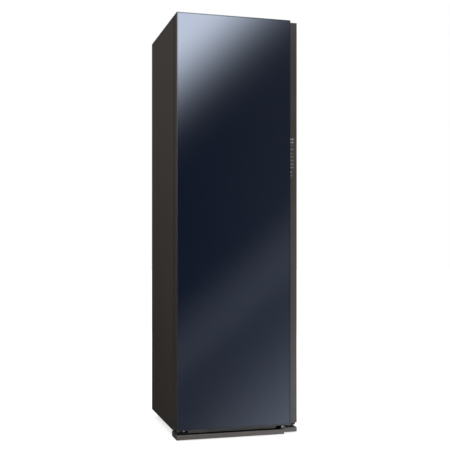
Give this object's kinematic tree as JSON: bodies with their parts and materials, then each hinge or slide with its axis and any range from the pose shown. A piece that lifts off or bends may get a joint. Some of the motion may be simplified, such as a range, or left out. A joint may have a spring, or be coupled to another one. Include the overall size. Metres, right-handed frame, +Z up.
{
  "type": "clothes care steam cabinet",
  "caption": "Tall clothes care cabinet with a hinged mirror-glass door, hanging rail, steam outlet, water tanks, heat pump and levelling feet.",
  "frame": {"origin": "on the floor under the middle of the closed cabinet", "axes": "+X to the viewer's right, +Y to the back, +Z up; the door faces -Y"},
  "size_m": [0.595, 0.632, 1.96],
  "materials": {
    "case_paint": "satin",
    "galvanised_steel": "satin",
    "bright_steel": "polished",
    "top_plastic": "matte",
    "plinth_plastic": "satin",
    "mirror_glass": "gloss",
    "trim_metal": "satin",
    "door_plastic": "satin",
    "strip_plastic": "satin",
    "liner_plastic": "satin",
    "dark_plastic": "satin",
    "tank_plastic": "gloss",
    "lid_plastic": "satin",
    "frosted_plastic": "matte",
    "rubber_seal": "matte",
    "foam_board": "matte",
    "felt": "matte",
    "lint_mesh": "matte",
    "aluminium_fins": "satin",
    "copper_line": "satin",
    "black_enamel": "satin",
    "motor_steel": "satin",
    "hose_rubber": "matte",
    "board_green": "satin",
    "nylon": "satin"
  },
  "bodies": {
    "cabinet": {"side_panel_left": "case_paint", "side_panel_right": "case_paint", "top_panel": "top_plastic", "rear_panel": "galvanised_steel", "casing_screws": "bright_steel", "base_frame": "case_paint", "plinth_cover": "plinth_plastic", "hinge_upper_bracket": "case_paint", "hinge_lower_bracket": "black_enamel", "hinge_pins": "bright_steel", "front_frame": "liner_plastic", "chamber_liner": "liner_plastic", "chamber_floor": "liner_plastic", "chamber_ceiling": "liner_plastic", "felt_pads": "felt", "lamp_lens": "frosted_plastic", "air_unit_housing": "dark_plastic", "top_fan_motor": "motor_steel", "air_nozzle_bar": "dark_plastic", "hanger_rail": "bright_steel", "air_outlet_grille": "dark_plastic", "steam_nozzle": "dark_plastic", "tank_bay": "dark_plastic", "steam_generator": "motor_steel", "water_pumps": "dark_plastic", "water_hoses": "hose_rubber", "compressor": "black_enamel", "evaporator": "aluminium_fins", "condenser": "aluminium_fins", "refrigerant_pipes": "copper_line", "air_duct": "dark_plastic", "blower_motor": "motor_steel", "control_box": "galvanised_steel", "power_board": "board_green", "cable_gland": "nylon"},
    "door": {"door_trim": "trim_metal", "door_glass": "mirror_glass", "door_shell": "door_plastic", "door_liner": "liner_plastic", "door_insulation": "foam_board", "door_gasket": "rubber_seal", "control_strip": "strip_plastic", "touch_board": "board_green", "door_hinge_bushes": "nylon"},
    "supply_tank": {"supply_tank": "tank_plastic", "supply_tank_lid": "lid_plastic"},
    "drain_tank": {"drain_tank": "tank_plastic", "drain_tank_lid": "lid_plastic"},
    "shelf": {"accessory_shelf": "liner_plastic"},
    "lint_filter": {"dust_filter_frame": "dark_plastic", "dust_filter_mesh": "lint_mesh"},
    "hanger_left": {"hanger_left": "dark_plastic"},
    "hanger_middle": {"hanger_middle": "dark_plastic"},
    "hanger_right": {"hanger_right": "dark_plastic"},
    "top_fan": {"top_fan_impeller": "dark_plastic"},
    "blower": {"blower_impeller": "dark_plastic"},
    "foot_front_left": {"foot_front_left": "motor_steel"},
    "foot_front_right": {"foot_front_right": "motor_steel"},
    "foot_rear_left": {"foot_rear_left": "motor_steel"},
    "foot_rear_right": {"foot_rear_right": "motor_steel"}
  },
  "joints": [
    {"name": "door_hinge", "type": "hinge", "parent": "cabinet", "child": "door", "pos_m": [-0.2835, -0.286, 1], "axis": [0, 0, -1], "range_deg": [0, 110]},
    {"name": "supply_tank_slide", "type": "slide", "parent": "cabinet", "child": "supply_tank", "axis": [0, -1, 0], "range_m": [0, 0.05]},
    {"name": "drain_tank_slide", "type": "slide", "parent": "cabinet", "child": "drain_tank", "axis": [0, -1, 0], "range_m": [0, 0.05]},
    {"name": "shelf_lift", "type": "slide", "parent": "cabinet", "child": "shelf", "axis": [0, 0, 1], "range_m": [0, 0.1]},
    {"name": "filter_lift", "type": "slide", "parent": "cabinet", "child": "lint_filter", "axis": [0, 0, 1], "range_m": [0, 0.12]},
    {"name": "hanger_left_swing", "type": "hinge", "parent": "cabinet", "child": "hanger_left", "pos_m": [-0.13, -0.01, 1.745], "axis": [1, 0, 0], "range_deg": [-8, 8]},
    {"name": "hanger_middle_swing", "type": "hinge", "parent": "cabinet", "child": "hanger_middle", "pos_m": [0, -0.01, 1.745], "axis": [1, 0, 0], "range_deg": [-8, 8]},
    {"name": "hanger_right_swing", "type": "hinge", "parent": "cabinet", "child": "hanger_right", "pos_m": [0.13, -0.01, 1.745], "axis": [1, 0, 0], "range_deg": [-8, 8]},
    {"name": "top_fan_spin", "type": "hinge", "parent": "cabinet", "child": "top_fan", "pos_m": [0, 0.06, 1.8375], "axis": [0, 0, 1], "continuous": true},
    {"name": "blower_spin", "type": "hinge", "parent": "cabinet", "child": "blower", "pos_m": [0.195, 0.095, 0.39], "axis": [0, 1, 0], "continuous": true},
    {"name": "foot_front_left_screw", "type": "slide", "parent": "cabinet", "child": "foot_front_left", "axis": [0, 0, -1], "range_m": [0, 0.012]},
    {"name": "foot_front_right_screw", "type": "slide", "parent": "cabinet", "child": "foot_front_right", "axis": [0, 0, -1], "range_m": [0, 0.012]},
    {"name": "foot_rear_left_screw", "type": "slide", "parent": "cabinet", "child": "foot_rear_left", "axis": [0, 0, -1], "range_m": [0, 0.012]},
    {"name": "foot_rear_right_screw", "type": "slide", "parent": "cabinet", "child": "foot_rear_right", "axis": [0, 0, -1], "range_m": [0, 0.012]}
  ]
}
